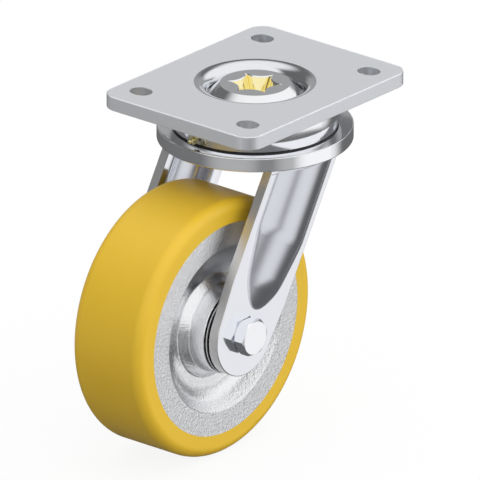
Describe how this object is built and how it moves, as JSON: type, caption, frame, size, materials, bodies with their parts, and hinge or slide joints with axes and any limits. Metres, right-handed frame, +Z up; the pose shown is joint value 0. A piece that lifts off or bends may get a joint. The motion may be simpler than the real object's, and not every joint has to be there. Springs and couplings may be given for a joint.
{
  "type": "swivel castor",
  "caption": "Heavy swivel castor: slotted top plate, ball-raced swivel head, pressed fork with beaded legs, and a cast wheel with a bonded yellow tyre.",
  "frame": {"origin": "centre of the top plate's upper face, on the swivel axis", "axes": "+Z up out of the plate's upper face, X along the wheel's axle towards the bolt head, the wheel trails towards -Y"},
  "size_m": [0.11, 0.2, 0.2],
  "materials": {
    "plate_zinc": "satin bright zinc plate",
    "bright_zinc": "bright zinc plate",
    "fastener_zinc": "bright zinc plate",
    "disc_steel": "turned steel",
    "nipple_steel": "yellow passivated zinc",
    "bearing_steel": "ground bearing steel",
    "seal_rubber": "black nitrile rubber",
    "cast_wheel": "silver lacquer on a rough casting",
    "tread": "satin polyurethane"
  },
  "bodies": {
    "plate": {"top_plate": "plate_zinc", "upper_race_cup": "bright_zinc", "kingpin": "bright_zinc", "lower_race": "bearing_steel", "kingpin_nut": "fastener_zinc", "grease_nipple": "nipple_steel"},
    "fork": {"swivel_head": "bright_zinc", "dust_seal": "seal_rubber", "fork_leg_right": "bright_zinc", "fork_leg_left": "bright_zinc", "axle_bolt": "fastener_zinc", "axle_washer": "fastener_zinc", "axle_nut": "fastener_zinc", "axle_tube": "bearing_steel", "bearing_sleeve": "bearing_steel", "dust_disc_right": "disc_steel", "dust_disc_left": "disc_steel", "bearing_inner_ring_right": "bearing_steel", "bearing_inner_ring_left": "bearing_steel"},
    "wheel": {"tyre": "tread", "wheel_centre": "cast_wheel", "bearing_outer_ring_right": "bearing_steel", "bearing_outer_ring_left": "bearing_steel", "bearing_seal_outer_right": "seal_rubber", "bearing_seal_outer_left": "seal_rubber", "bearing_seal_inner_right": "seal_rubber", "bearing_seal_inner_left": "seal_rubber"},
    "upper_ball_row": {"upper_swivel_balls": "bearing_steel"},
    "lower_ball_row": {"lower_swivel_balls": "bearing_steel"},
    "ball_set_right": {"bearing_balls_right": "bearing_steel", "bearing_cage_right": "bearing_steel"},
    "ball_set_left": {"bearing_balls_left": "bearing_steel", "bearing_cage_left": "bearing_steel"}
  },
  "joints": [
    {"name": "swivel", "type": "hinge", "parent": "plate", "child": "fork", "pos_m": [0, 0, 0], "axis": [0, 0, 1], "continuous": true},
    {"name": "wheel_spin", "type": "hinge", "parent": "fork", "child": "wheel", "pos_m": [0, -0.055, -0.125], "axis": [1, 0, 0], "continuous": true},
    {"name": "upper_row_roll", "type": "hinge", "parent": "plate", "child": "upper_ball_row", "pos_m": [0, 0, 0], "axis": [0, 0, 1], "continuous": true},
    {"name": "lower_row_roll", "type": "hinge", "parent": "plate", "child": "lower_ball_row", "pos_m": [0, 0, 0], "axis": [0, 0, 1], "continuous": true},
    {"name": "right_set_roll", "type": "hinge", "parent": "fork", "child": "ball_set_right", "pos_m": [0, -0.055, -0.125], "axis": [1, 0, 0], "continuous": true},
    {"name": "left_set_roll", "type": "hinge", "parent": "fork", "child": "ball_set_left", "pos_m": [0, -0.055, -0.125], "axis": [1, 0, 0], "continuous": true}
  ],
  "couplings": [
    {"joint": "upper_row_roll", "follows": "swivel", "ratio": 0.5},
    {"joint": "lower_row_roll", "follows": "swivel", "ratio": 0.5},
    {"joint": "right_set_roll", "follows": "wheel_spin", "ratio": 0.62},
    {"joint": "left_set_roll", "follows": "wheel_spin", "ratio": 0.62}
  ]
}
